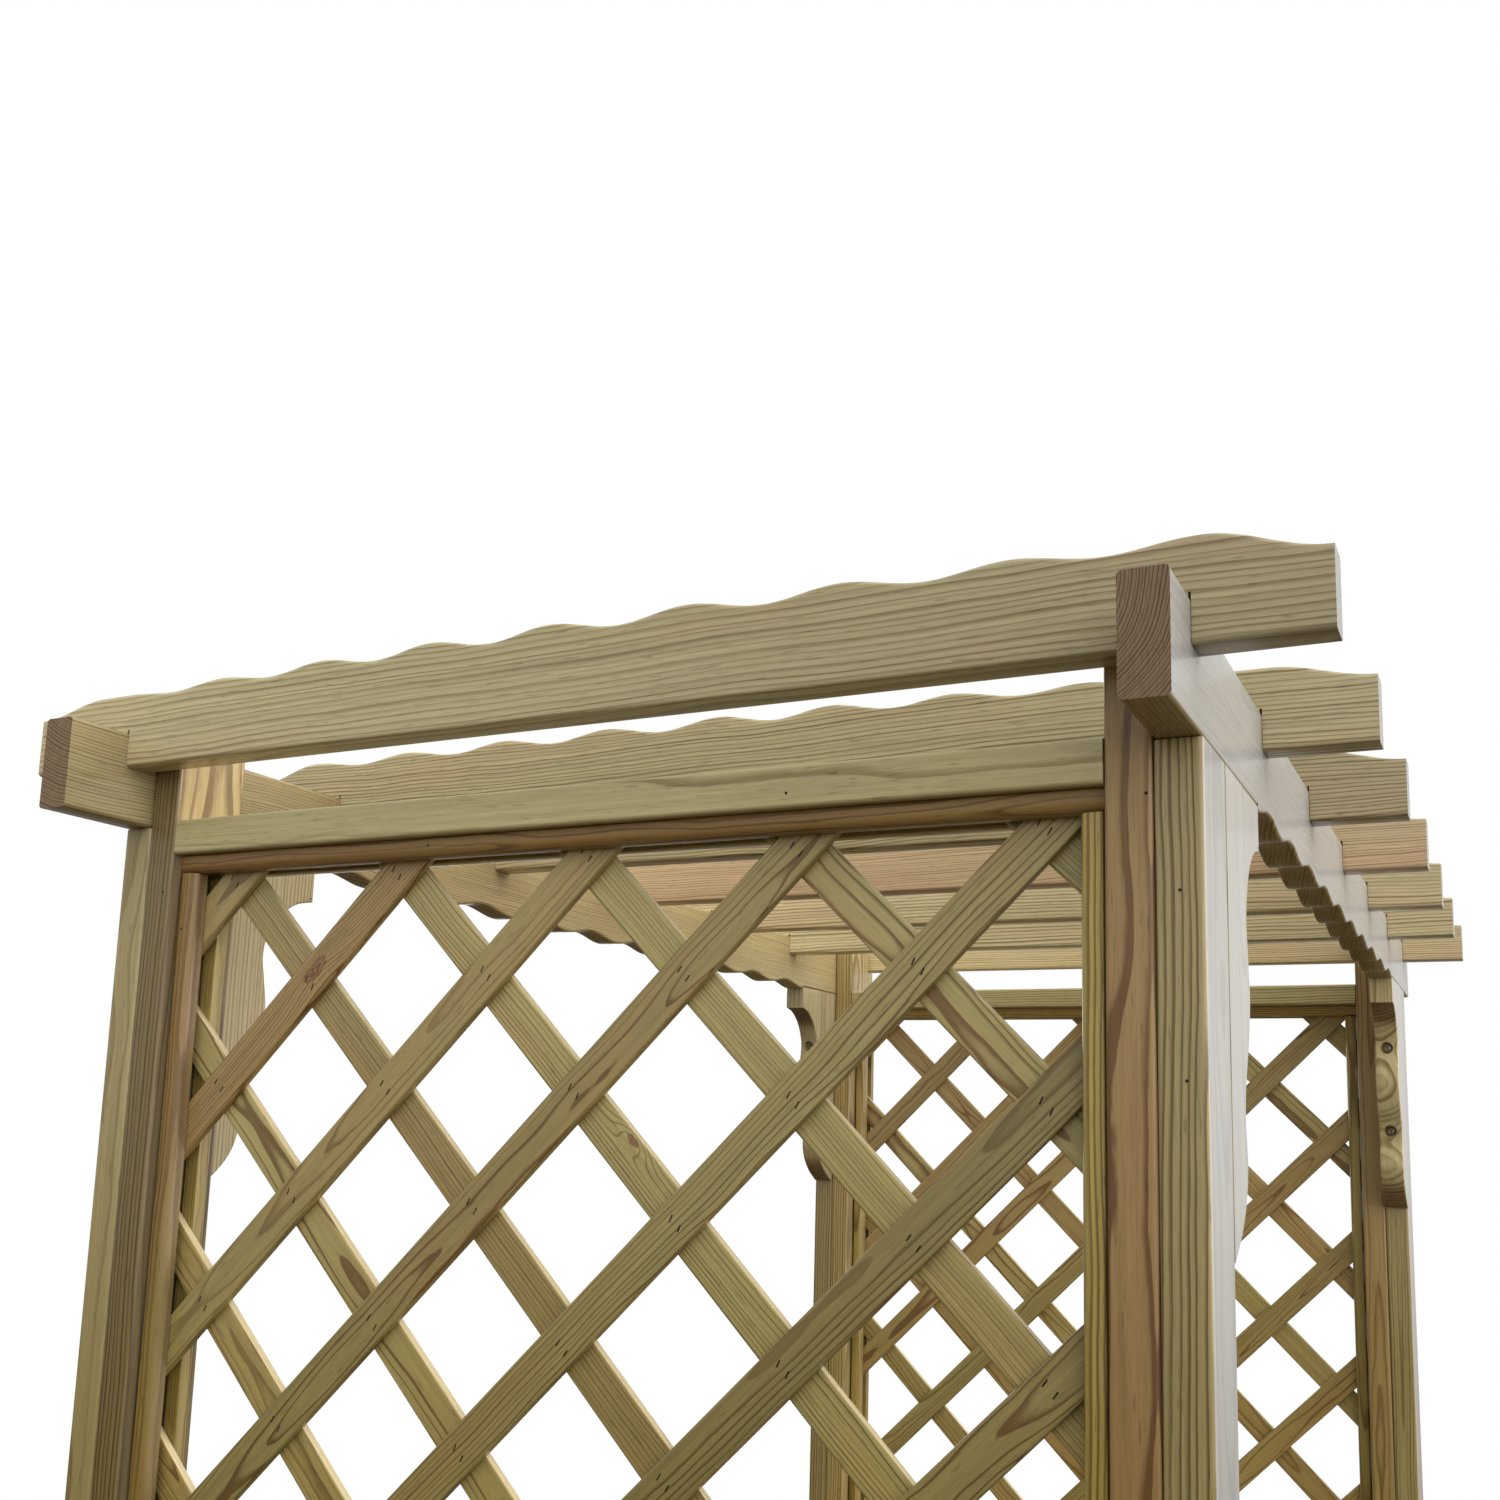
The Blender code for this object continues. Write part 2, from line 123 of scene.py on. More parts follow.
# Brackets and screws
BRACKET_R = 2.5 * MM
BRACKET_SCROLL_MM = (
    (170.0, 44.0), (140.0, 52.0), (112.0, 73.0), (96.0, 100.0), (92.0, 122.0),
    (97.0, 150.0), (102.0, 184.0), (92.0, 222.0), (74.0, 256.0), (67.0, 284.0),
    (71.0, 308.0), (73.0, 330.0), (62.0, 356.0), (38.0, 380.0), (4.0, 400.0),
)
SCROLL_STEPS = 8
COUNTERBORE_R = 10.5 * MM
SHANK_HOLE_R = 3.3 * MM
SCREW_SEATS = {"upper": 83.0 * MM, "lower": 60.0 * MM}
OVERCUT = 10.0 * MM
BORE_SIDES = 48
SCREW_SIDES = 40
SCREW_HEAD = (              # (radius, depth behind the front of the head)
    (0.3 * MM, 2.4 * MM), (2.2 * MM, 2.2 * MM), (2.6 * MM, 0.1 * MM), (2.9 * MM, 0.0),
    (5.0 * MM, 0.25 * MM), (6.6 * MM, 1.0 * MM), (7.4 * MM, 2.4 * MM), (7.5 * MM, 3.9 * MM),
    (3.0 * MM, 4.0 * MM), (2.3 * MM, 6.0 * MM),
)
SCREW_CORE_R = 2.3 * MM
SCREW_TIP_R = 0.5 * MM
SCREW_POINT = 6.0 * MM
NAIL_HEAD = ((0.4 * MM, -0.12 * MM), (1.1 * MM, -0.10 * MM), (1.5 * MM, 0.05 * MM),
             (1.5 * MM, 1.0 * MM))
NAIL_SIDES = 20
NAILS = (                   # (node, x, z)
    ("bead_front_outer_top", -0.1667, 2.0130), ("rail_front_top", 0.2305, 2.0339),
    ("stile_front_left", -0.5162, 1.9794), ("stile_front_right", 0.5385, 2.0108),
    ("bead_front_outer_left", -0.4965, 1.9400), ("post_front_right", 0.5630, 1.9335),
    ("post_front_right", 0.5659, 1.7892),
)

SEED_STEP = 3.7             # keeps the chance patterns of boards apart
FLAT_SHARE = 0.5            # share of boards cut flat across the rings

dice = random.Random(594)


# -------- log and board

class Board:
    """How a board lay in its log.

    along is the direction of its fibres and out that of its face. pith is how far the
    middle of the log lies from the middle of the board, across its width and behind its
    face. lean is how the pith drifts over a metre of length. warmth runs from green
    treated sapwood to pink heartwood, depth makes a board darker and contrast makes its
    latewood stronger. knot is (along, across, radius) from the middle of the board. late
    is the share of a year after which the wood starts to darken. pale is how far across
    and along from the middle a side painted paler starts, as painted light where light
    falls on it, and by how much it is paler. drift is how much darker the board gets over
    a metre of length.
    """

    count = 0

    def __init__(self, centre, along, out, pith, ring, lean=(0.0, 0.0), warmth=0.2,
                 depth=0.0, contrast=1.0, knot=(0.0, 0.0, 0.0), late=0.42,
                 pale=(0.0, 0.0, 0.0), drift=0.0):
        Board.count += 1
        self.centre = np.array(centre, float)
        along, out = Vector(along).normalized(), Vector(out).normalized()
        self.along, self.out, self.wide = map(np.array, (along, out, out.cross(along)))
        self.pith, self.ring, self.lean = pith, ring, lean
        self.tone = (warmth, depth, contrast)
        self.knot, self.late, self.pale, self.drift = knot, late, pale, drift
        self.seed = SEED_STEP * Board.count

    def attributes(self, points):
        """Log coordinates, knot coordinates, ring data and tone of points on the board."""
        offset = points - self.centre
        run = offset @ self.along
        wide = offset @ self.wide
        thick = offset @ self.out
        log = np.stack([
            wide - self.pith[0] - self.lean[0] * run,
            thick + self.pith[1] - self.lean[1] * run,
            run + self.seed,
        ], axis=1)
        knot = np.stack([
            run - self.knot[0], wide - self.knot[1], np.full(len(run), self.knot[2])
        ], axis=1)
        rings = np.tile([self.ring, self.seed, self.late], (len(run), 1))
        tone = np.tile(self.tone, (len(run), 1))
        side, start, amount = self.pale
        tone[:, 1] += self.drift * run
        # painted light: the side beyond these bounds is painted paler where light falls on it
        tone[:, 1] -= np.where((wide < -side) & (run > start), amount, 0.0)
        return log, knot, rings, tone


# Cuts of the boards that are seen best, with pith as (across, behind)
CUTS = {
    "rafter_1": dict(pith=(-0.16, 0.03), ring=0.0058, lean=(0.010, 0.0), warmth=0.05,
                     depth=0.07, contrast=0.75, drift=0.32),
    "rafter_2": dict(pith=(-0.10, 0.035), ring=0.0042, lean=(0.012, 0.01), warmth=0.15,
                     depth=0.02, drift=0.15),
    "rafter_3": dict(pith=(0.09, 0.03), ring=0.0045, lean=(0.02, 0.01), warmth=0.20,
                     depth=0.04, drift=0.32),
    "rafter_4": dict(pith=(-0.13, 0.02), ring=0.0036, lean=(0.008, 0.0), warmth=0.85,
                     depth=-0.16, contrast=0.8, drift=0.32),
    "rafter_5": dict(pith=(0.12, 0.02), ring=0.0055, lean=(0.01, 0.0), warmth=0.20,
                     depth=-0.24, drift=0.40),
    "rafter_6": dict(pith=(-0.12, 0.02), ring=0.0060, lean=(0.015, 0.0), warmth=0.10,
                     depth=-0.24, drift=0.40),
    "rafter_7": dict(pith=(0.13, 0.02), ring=0.0038, warmth=0.35, depth=-0.24, drift=0.40),
    "beam_left": dict(pith=(-0.11, 0.045), ring=0.0035, lean=(0.010, 0.0), warmth=0.22,
                      depth=-0.16, contrast=0.9, drift=-0.15),
    "beam_right": dict(pith=(0.05, 0.085), ring=0.0028, lean=(0.004, 0.0), warmth=0.30,
                       depth=0.16),
    "rail_front_top": dict(pith=(0.022, 0.034), ring=0.0090, lean=(0.006, 0.008),
                           warmth=0.05, depth=-0.04, contrast=0.6, late=0.78),
    "bead_front_outer_top": dict(pith=(0.03, 0.05), ring=0.0034, warmth=0.9, depth=0.25,
                                 late=0.55),
    "bead_front_outer_right": dict(pith=(0.045, 0.0), ring=0.0050, warmth=0.10,
                                   depth=-0.20, contrast=1.4),
    "bead_front_outer_left": dict(pith=(0.04, 0.02), ring=0.0040, warmth=0.6, depth=0.25),
    "post_front_right": dict(pith=(0.11, 0.01), ring=0.0054, lean=(0.004, 0.0),
                             warmth=0.25, depth=0.07, contrast=1.15),
    "stile_front_right": dict(pith=(0.014, 0.024), ring=0.0062, lean=(0.002, 0.022),
                              warmth=1.0, depth=0.04, contrast=1.35, late=0.60),
    # its inner face above the top rail is painted paler, as painted light
    "stile_front_left": dict(pith=(-0.12, 0.01), ring=0.0052, lean=(0.003, 0.0),
                             warmth=0.45, depth=0.38, contrast=1.25,
                             pale=(0.0185, 0.965, 0.88)),
    "post_front_left": dict(pith=(0.02, 0.09), ring=0.0045, lean=(0.004, 0.006),
                            warmth=0.08, contrast=0.6, late=0.6),
    "bracket_front_left": dict(pith=(0.13, 0.03), ring=0.0062, warmth=0.35),
    "bracket_back_left": dict(pith=(0.02, 0.07), ring=0.0050, warmth=0.20, contrast=0.7),
    "rail_back_top": dict(pith=(0.09, 0.02), ring=0.0048, warmth=0.10, depth=-0.22),
    "bead_back_inner_top": dict(pith=(0.05, 0.02), ring=0.0040, warmth=0.15, depth=-0.22),
    "stile_back_left": dict(pith=(-0.10, 0.02), ring=0.0050, warmth=0.20, depth=-0.25),
}


def board_of(node, axis, out):
    """The cut listed for a node, or one drawn by chance.

    The fibres run along one axis, and the face of the board looks out.
    """
    low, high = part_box(node)
    centre, along = (low + high) / 2, (X, Y, Z)[axis]
    if node in CUTS:
        return Board(centre, along, out, **CUTS[node])
    width = abs((high - low).dot(out.cross(along)))
    if dice.random() < FLAT_SHARE:
        pith = (dice.uniform(-0.3, 0.3) * width, dice.uniform(0.045, 0.10))
    else:
        pith = (dice.choice((-1, 1)) * dice.uniform(0.06, 0.12), dice.uniform(0.0, 0.035))
    return Board(
        centre, along, out, pith, dice.uniform(3.4, 6.5) * MM,
        lean=(dice.uniform(-0.012, 0.012), dice.uniform(-0.016, 0.016)),
        warmth=dice.uniform(0.0, 0.6), depth=dice.uniform(-0.06, 0.14),
        contrast=dice.uniform(0.75, 1.1),
    )


# -------- meshes

def loft(rings):
    """Points and faces of a closed body through rings with equal point counts."""
    count = len(rings[0])
    points = [p for ring in rings for p in ring]
    faces = []
    for r in range(len(rings) - 1):
        for i in range(count):
            j = (i + 1) % count
            a, b = r * count, (r + 1) * count
            faces.append((a + i, a + j, b + j, b + i))
    faces.append(tuple(reversed(range(count))))
    faces.append(tuple(range(len(points) - count, len(points))))
    return points, faces


def write(mesh, name, kind, domain, field, values):
    attribute = mesh.attributes.new(name, kind, domain)
    attribute.data.foreach_set(field, np.ascontiguousarray(values, np.float32).ravel())


def smooth_step(value, low, high):
    t = min(max((value - low) / (high - low), 0.0), 1.0)
    return t * t * (3 - 2 * t)


def dress(mesh, boards):
    """Give a mesh the attributes its wood reads. boards lists (vertex count, board)."""
    points = np.zeros(len(mesh.vertices) * 3)
    mesh.vertices.foreach_get("co", points)
    points = points.reshape(-1, 3)
    parts, start = [], 0
    for count, board in boards:
        parts.append(board.attributes(points[start:start + count]))
        start += count
    for index, name in enumerate(("log", "knot", "rings", "tone")):
        values = np.concatenate([part[index] for part in parts])
        write(mesh, name, "FLOAT_VECTOR", "POINT", "vector", values)
    fibres = np.concatenate([np.tile(board.along, (count, 1)) for count, board in boards])
    sawn = [
        smooth_step(abs(polygon.normal.dot(fibres[polygon.vertices[0]])), SAWN_FROM, SAWN_FULL)
        for polygon in mesh.polygons
    ]
    write(mesh, "sawn", "FLOAT", "FACE", "value", sawn)


def placed(name, data):
    """A new object in the scene."""
    obj = bpy.data.objects.new(name, data)
    bpy.context.scene.collection.objects.link(obj)
    return obj


def solid(name, points, faces):
    """An object with one closed mesh, its faces turned outward."""
    mesh = bpy.data.meshes.new(name)
    mesh.from_pydata([tuple(p) for p in points], [], faces)
    shell = bmesh.new()
    shell.from_mesh(mesh)
    bmesh.ops.recalc_face_normals(shell, faces=shell.faces)
    shell.to_mesh(mesh)
    shell.free()
    return placed(name, mesh)


def finish_piece(obj, boards, material, replaced):
    """Shade and dress a piece on the root body that stands for CAD nodes."""
    mesh = obj.data
    for polygon in mesh.polygons:
        polygon.use_smooth = True
    mesh.set_sharp_from_angle(angle=SHARP_ANGLE)
    if boards:
        dress(mesh, boards)
    mesh.materials.clear()
    mesh.materials.append(material)
    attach(obj, "root")
    if replaced:
        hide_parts(*replaced)


def one_body(node, rings, board, material):
    """The piece that stands for a CAD node."""
    many_bodies(node, [(rings, board)], material, [node])


def many_bodies(name, bodies, material, replaced):
    """One piece from many lofted bodies; bodies lists (rings, board or None)."""
    points, faces, boards = [], [], []
    for rings, board in bodies:
        more, sides = loft(rings)
        base = len(points)
        points += more
        faces += [tuple(base + i for i in face) for face in sides]
        if board:
            boards.append((len(more), board))
    finish_piece(solid(name, points, faces), boards, material, replaced)


def section(a0, a1, b0, b1, radii):
    """Cross-section with rounded corners and flat margins, as (a, b, normal a, normal b)."""
    corners = ((a0, b0, 1, 1), (a1, b0, -1, 1), (a1, b1, -1, -1), (a0, b1, 1, -1))
    outline = []
    for index, (ca, cb, sa, sb) in enumerate(corners):
        radius = radii[index]
        start = math.pi + index * math.pi / 2
        arc = []
        for step in range(ROUND_STEPS + 1):
            angle = start + step * math.pi / 2 / ROUND_STEPS
            na, nb = math.cos(angle), math.sin(angle)
            arc.append((ca + (sa + na) * radius, cb + (sb + nb) * radius, na, nb))
        first, last = arc[0], arc[-1]
        before = (first[0] + first[3] * FLAT_MARGIN, first[1] - first[2] * FLAT_MARGIN)
        after = (last[0] - last[3] * FLAT_MARGIN, last[1] + last[2] * FLAT_MARGIN)
        outline.append((*before, first[2], first[3]))
        outline += arc
        outline.append((*after, last[2], last[3]))
    return outline


def bar(node, axis, radii, out, wood, slot):
    """A straight board in the box of a CAD node, its fibres along one axis."""
    board = board_of(node, axis, out)
    low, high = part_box(node)
    first, second = [i for i in range(3) if i != axis]
    outline = section(low[first], high[first], low[second], high[second], radii)
    start, end = low[axis], high[axis]
    stations = [
        (start, END_CHAMFER), (start + END_CHAMFER, 0.0), (start + FLAT_MARGIN, 0.0),
        (end - FLAT_MARGIN, 0.0), (end - END_CHAMFER, 0.0), (end, END_CHAMFER),
    ]
    # rings where the side that is painted paler, as painted light, starts
    if board.pale[1]:
        change = board.centre[axis] + board.pale[1]
        stations[3:3] = [(change - MM, 0.0), (change + MM, 0.0)]
    rings = []
    for place, inset in stations:
        ring = []
        for a, b, na, nb in outline:
            p = [0.0, 0.0, 0.0]
            p[axis] = place
            p[first] = a - na * inset
            p[second] = b - nb * inset
            ring.append(p)
        rings.append(ring)
    one_body(node, rings, board, wood[slot])


def arris_levels(steps, radius):
    """Rings of a rounded board from face to face.

    Each is (side, depth under the face, inset, whether it edges the flat of the face).
    """
    order = [(-1, k) for k in range(steps + 1, -1, -1)] + [(1, k) for k in range(steps + 2)]
    for side, k in order:
        angle = min(k, steps) * math.pi / 2 / steps
        yield side, radius * (1 - math.sin(angle)), radius * (1 - math.cos(angle)), k > steps


def inward(outline):
    """Directions into the material at the corners of a closed outline run anticlockwise."""
    directions = []
    for i, here in enumerate(outline):
        back = (here - outline[i - 1]).normalized()
        ahead = (outline[(i + 1) % len(outline)] - here).normalized()
        normal = Vector((-back.y - ahead.y, back.x + ahead.x))
        directions.append(normal.normalized())
    return directions


def shaped(outline, rounding, low, high, radius):
    """Rings (across, u, z) of a board of any outline between two faces.

    rounding holds, for each corner, how the arris takes it in, or None where it is sharp.
    """
    outline = [Vector(p) for p in outline]
    margins = inward(outline)
    rings = []
    middle, half = (low + high) / 2, (high - low) / 2
    for side, depth, inset, on_face in arris_levels(ROUND_STEPS, radius):
        across = middle + side * (half - depth)
        extra = FLAT_MARGIN if on_face else 0.0
        ring = []
        for p, into, margin in zip(outline, rounding, margins):
            q = p + margin * extra
            if into is not None:
                q = q + into * inset
            ring.append((across, q.x, q.y))
        rings.append(ring)
    return rings


def wave(u, pitch):
    """0 on a crest at u = 0 and 1 in the trough half a pitch away."""
    return 0.5 - 0.5 * math.cos(2 * math.pi * u / pitch)


# -------- boards of the arbour

def build_beam(node, x_sign, board, material):
    low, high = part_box(node)
    bottom = low.z + BEAM_LOBE
    steps = BEAM_WAVES * WAVE_STEPS
    outline = [(low.y, high.z), (low.y, bottom), (-BEAM_WAVE_HALF, bottom)]
    for i in range(steps + 1):
        u = -BEAM_WAVE_HALF + 2 * BEAM_WAVE_HALF * i / steps
        lift = BEAM_WAVE_DEPTH * wave(u - x_sign * BEAM_WAVE_SHIFT, BEAM_WAVE)
        outline.append((u, low.z + lift))
    outline += [(BEAM_WAVE_HALF, bottom), (high.y, bottom), (high.y, high.z)]
    rounding = [DOWN, *[UP] * (len(outline) - 2), DOWN]
    rings = shaped(outline, rounding, low.x, high.x, ARRIS)
    one_body(node, rings, board, material)


def rafter_crest(u, half):
    """Height of the wavy upper edge over the beam top, its longer waves at u > 0."""
    pitch, fall = RAFTER_LONG if u > 0 else RAFTER_SHORT
    reach = pitch * RAFTER_SIDE_WAVES
    u = abs(u)
    fallen = fall * min(u / reach, 1.0) ** 2
    if u <= reach:
        return RAFTER_CREST - fallen - (RAFTER_DIP - RAFTER_FADE * fallen) * wave(u, pitch)
    if u <= RAFTER_SHOULDER:
        return RAFTER_CREST - fallen
    left = (half - u) / (half - RAFTER_SHOULDER)
    return RAFTER_END_RISE + (RAFTER_CREST - fallen - RAFTER_END_RISE) * wave(left, 2.0)


def build_rafter(number, board, material):
    node = f"rafter_{number}"
    low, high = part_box(node)
    half = high.x
    beam_low, beam_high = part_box("beam_right")
    beam_top = beam_high.z
    wide, high_cut = NOTCH_RELIEF
    seat = beam_top + SEAT_GAP
    top = seat + high_cut
    outline, rounding = [(-half, low.z)], [UP]
    for sign in (-1, 1):
        edges = sorted((sign * beam_low.x, sign * beam_high.x))
        first, last = edges[0] - NOTCH_SIDE, edges[1] + NOTCH_SIDE
        outline += [
            (first, low.z), (first, top), (first + wide, top), (first + wide, seat),
            (last - wide, seat), (last - wide, top), (last, top), (last, low.z),
        ]
        rounding += [UP, *[None] * 6, UP]
    outline.append((half, low.z))
    rounding.append(UP)
    steps = (2 * RAFTER_SIDE_WAVES + 1) * WAVE_STEPS
    for i in range(steps + 1):
        u = half - 2 * half * i / steps
        crest = rafter_crest(-u if number in RAFTER_TURNED else u, half)
        outline.append((u, beam_top + crest))
        rounding.append(DOWN)
    rings = shaped(outline, rounding, low.y, high.y, ARRIS)
    along_x = [[(u, across, z) for across, u, z in ring] for ring in rings]
    one_body(node, along_x, board, material)


def curve_through(points, steps):
    """Smooth curve through points (Catmull-Rom), both ends included."""
    padded = [points[0], *points, points[-1]]
    result = []
    for i in range(len(points) - 1):
        p0, p1, p2, p3 = padded[i:i + 4]
        for step in range(steps):
            t = step / steps
            result.append((
                2 * p1 + (p2 - p0) * t + (2 * p0 - 5 * p1 + 4 * p2 - p3) * t * t
                + (3 * p1 - p0 - 3 * p2 + p3) * t * t * t
            ) / 2)
    result.append(points[-1])
    return result


def carve(obj, cutters):
    """Cut holes in an object for good and remove the cutters."""
    for tool in cutters:
        modifier = obj.modifiers.new(tool.name, "BOOLEAN")
        modifier.operation = "DIFFERENCE"
        modifier.solver = "EXACT"
        modifier.object = tool
    graph = bpy.context.evaluated_depsgraph_get()
    mesh = bpy.data.meshes.new_from_object(obj.evaluated_get(graph))
    obj.modifiers.clear()
    obj.data = mesh
    for tool in cutters:
        bpy.data.objects.remove(tool)


def build_bracket(end, y_sign, side, board, material):
    node = f"bracket_{end}_{side}"
    low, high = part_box(node)
    back = high.y if y_sign > 0 else -low.y
    curve = curve_through([Vector(p) * MM for p in BRACKET_SCROLL_MM], SCROLL_STEPS)
    spots = [(0.0, 0.0), (curve[0].x, 0.0)] + [(p.x, p.y) for p in curve]
    spots.append((0.0, curve[-1].y))
    outline = [Vector((y_sign * (back - reach), high.z - drop)) for reach, drop in spots]
    if y_sign > 0:
        outline.reverse()
    outline.reverse()
    into = inward(outline)
    post_face = y_sign * back
    rounding = [None if abs(p.x - post_face) < MM else d for p, d in zip(outline, into)]
    obj = solid(node, *loft(shaped(outline, rounding, low.x, high.x, BRACKET_R)))
    outside = y_sign * (back - curve[0].x - OVERCUT)
    tools = []
    for level, seat in SCREW_SEATS.items():
        screw_low, screw_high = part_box(f"screw_{end}_{side}_{level}")
        middle = (screw_low + screw_high) / 2
        centre = (middle.x, middle.z)
        for label, radius, depth in (("bore", COUNTERBORE_R, -seat),
                                     ("hole", SHANK_HOLE_R, OVERCUT)):
            ends = [(radius, outside), (radius, y_sign * (back + depth))]
            tools.append(solid(f"{label}_{level}", *loft(turned(ends, centre, BORE_SIDES))))
    carve(obj, tools)
    finish_piece(obj, [(len(obj.data.vertices), board)], material, [node])


# -------- lattice

def crossing(first, second):
    """Point where two lines (normal x, normal z, distance) meet."""
    (ax, az, ad), (bx, bz, bd) = first, second
    scale = ax * bz - az * bx
    return ((ad * bz - az * bd) / scale, (ax * bd - ad * bx) / scale)


def corners_of(lines):
    """Pairs of lines that meet at the corners of the convex outline they hold."""
    outline = [(-FAR, -FAR), (FAR, -FAR), (FAR, FAR), (-FAR, FAR)]
    tags = [None] * 4
    for tag, (nx, nz, distance) in enumerate(lines):
        kept, kept_tags = [], []
        for i, p in enumerate(outline):
            q = outline[(i + 1) % len(outline)]
            dp = nx * p[0] + nz * p[1] - distance
            dq = nx * q[0] + nz * q[1] - distance
            if dp <= 0:
                kept.append(p)
                kept_tags.append(tags[i])
            if (dp <= 0) != (dq <= 0):
                t = dp / (dp - dq)
                kept.append((p[0] + t * (q[0] - p[0]), p[1] + t * (q[1] - p[1])))
                kept_tags.append(tag if dp <= 0 else tags[i])
        outline, tags = kept, kept_tags
    return [(tags[i - 1], tags[i]) for i in range(len(tags))]


def slat_lines(edges, slope, head, rail, inset):
    """Half planes of a slat: its two long edges, then the edges of the opening."""
    x0, x1, z0, z1 = edges
    root = 1 / math.sqrt(2)
    half = SLAT_W / 2 - inset
    nx, nz = root, -slope * root
    middle = nx * head + nz * rail
    return [
        (nx, nz, middle + half), (-nx, -nz, -(middle - half)),
        (1, 0, x1), (-1, 0, -x0), (0, 1, z1), (0, -1, -z0),
    ]


def slat_outline(edges, slope, head, rail, inset):
    """Corners (x, z) of a slat, its long edges taken in but its ends left in place.

    The corners are those of the flat face, so that every ring of the slat has the same.
    """
    x0, x1, z0, z1 = edges
    corners = corners_of(slat_lines(edges, slope, head, rail, SLAT_ARRIS + SLAT_MARGIN))
    lines = slat_lines(edges, slope, head, rail, inset)
    places = [crossing(lines[a], lines[b]) for a, b in corners]
    return [(min(max(x, x0), x1), min(max(z, z0), z1)) for x, z in places]


def slat_heads(edges, slope, offset, rail):
    """Where the slats of one layer meet the top rail."""
    x0, x1, z0, z1 = edges
    most = math.ceil((z1 - z0 + x1 - x0) / SLAT_PITCH) + 1
    heads = []
    for k in range(-most, most + 1):
        head = offset + SLAT_PITCH * k
        xs = [x for x, _ in slat_outline(edges, slope, head, rail, 0.0)]
        if xs and max(xs) - min(xs) > LEAST_SLAT:
            heads.append(head)
    return heads


def slat_rings(edges, slope, head, rail, y0):
    rings = []
    for side, depth, inset, on_face in arris_levels(SLAT_ROUND_STEPS, SLAT_ARRIS):
        if on_face:
            inset += SLAT_MARGIN
        y = y0 + SLAT_T / 2 + side * (SLAT_T / 2 - depth)
        outline = slat_outline(edges, slope, head, rail, inset)
        rings.append([(x, y, z) for x, z in outline])
    return rings


def slat_board(ring, end, slope):
    """Most slats are cut flat, so a few rings wander over them in broad bands."""
    centre = [sum(p[i] for p in ring) / len(ring) for i in range(3)]
    along, out = Vector((slope, 0, 1)).normalized(), -Y
    knot = (0.0, 0.0, 0.0)
    warmer, darker = SLAT_TONE[end, slope]
    warmth = dice.uniform(0.0, 0.8) + warmer
    if (end, slope) in SLAT_KNOTS:
        (x, z, radius), knotted_warmth = SLAT_KNOTS[end, slope]
        offset = Vector((x - centre[0], 0, z - centre[2]))
        across = offset.dot(out.cross(along))
        if abs(across) < SLAT_W / 2:
            knot = (offset.dot(along), across, radius)
            warmth = knotted_warmth
    pith = (dice.uniform(-0.020, 0.020), dice.uniform(0.018, 0.045))
    if dice.random() > SLAT_FLAT_SHARE:
        pith = (dice.choice((-1, 1)) * dice.uniform(0.03, 0.07), dice.uniform(0.01, 0.03))
    return Board(
        centre, along, out, pith, dice.uniform(3.0, 5.0) * MM,
        lean=(dice.uniform(-0.01, 0.01), dice.uniform(-0.02, 0.02)),
        warmth=warmth, depth=dice.uniform(-0.10, 0.16) + darker,
        contrast=dice.uniform(0.9, 1.3), knot=knot, late=dice.uniform(0.55, 0.72),
    )


def build_lattice(end, y_sign, wood, steel):
    """Two layers of slats. The frame's own lattice gives the opening and the depth."""
    low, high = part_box(f"lattice_{end}")
    edges = (low.x, high.x, low.z, high.z)
    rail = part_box(f"rail_{end}_top")[0].z
    heads = {}
    for label, slope, y0 in (("rising", 1, low.y), ("falling", -1, high.y - SLAT_T)):
        offset = SLAT_OFFSETS[y_sign][0 if slope > 0 else 1]
        heads[slope] = slat_heads(edges, slope, offset, rail)
        bodies = []
        for head in heads[slope]:
            rings = slat_rings(edges, slope, head, rail, y0)
            bodies.append((rings, slat_board(rings[0], end, slope)))
        replaced = [f"lattice_{end}"] if slope > 0 else []
        many_bodies(f"slats_{end}_{label}", bodies, wood, replaced)
    bodies = staples(heads, edges, rail, low.y if y_sign < 0 else high.y, y_sign)
    many_bodies(f"staples_{end}", bodies, steel, [])


def staples(heads, edges, rail, y, y_sign):
    """Two staple crowns sunk in the outer slat at each crossing."""
    x0, x1, z0, z1 = edges
    margin = SLAT_W / 4
    bodies = []
    for rising in heads[1]:
        for falling in heads[-1]:
            x = (rising + falling) / 2
            z = rail - (rising - falling) / 2
            if not (x0 + margin < x < x1 - margin and z0 + margin < z < z1 - margin):
                continue
            turn = STAPLE_TURN + math.radians(dice.uniform(-STAPLE_SWING, STAPLE_SWING))
            along = Vector((math.cos(turn), math.sin(turn)))
            middle = Vector([place + dice.uniform(-stray, stray)
                             for place, stray in zip((x, z), STAPLE_STRAY)])
            for side in (-1, 1):
                step = Vector((1, -1)).normalized() * side * STAPLE_APART / 2
                bodies.append((staple_rings(middle + step, along, y, y_sign), None))
    return bodies


def staple_rings(centre, along, y, y_sign):
    """A crown rounded across, its middle proud of the wood by a hair."""
    across = Vector((-along.y, along.x))
    rings = []
    for t, rise in STAPLE_PROFILE:
        ring = []
        for w, lift in STAPLE_SECTION:
            p = centre + along * t * STAPLE_L + across * w * STAPLE_W
            ring.append((p.x, y + y_sign * (rise + lift), p.y))
        rings.append(ring)
    return rings


# -------- metal

def turned(profile, centre, sides):
    """Rings of a body turned about a line along Y; profile is (radius, y)."""
    x, z = centre
    turns = [2 * math.pi * i / sides for i in range(sides)]
    return [[(x + radius * math.cos(turn), y, z + radius * math.sin(turn)) for turn in turns]
            for radius, y in profile]


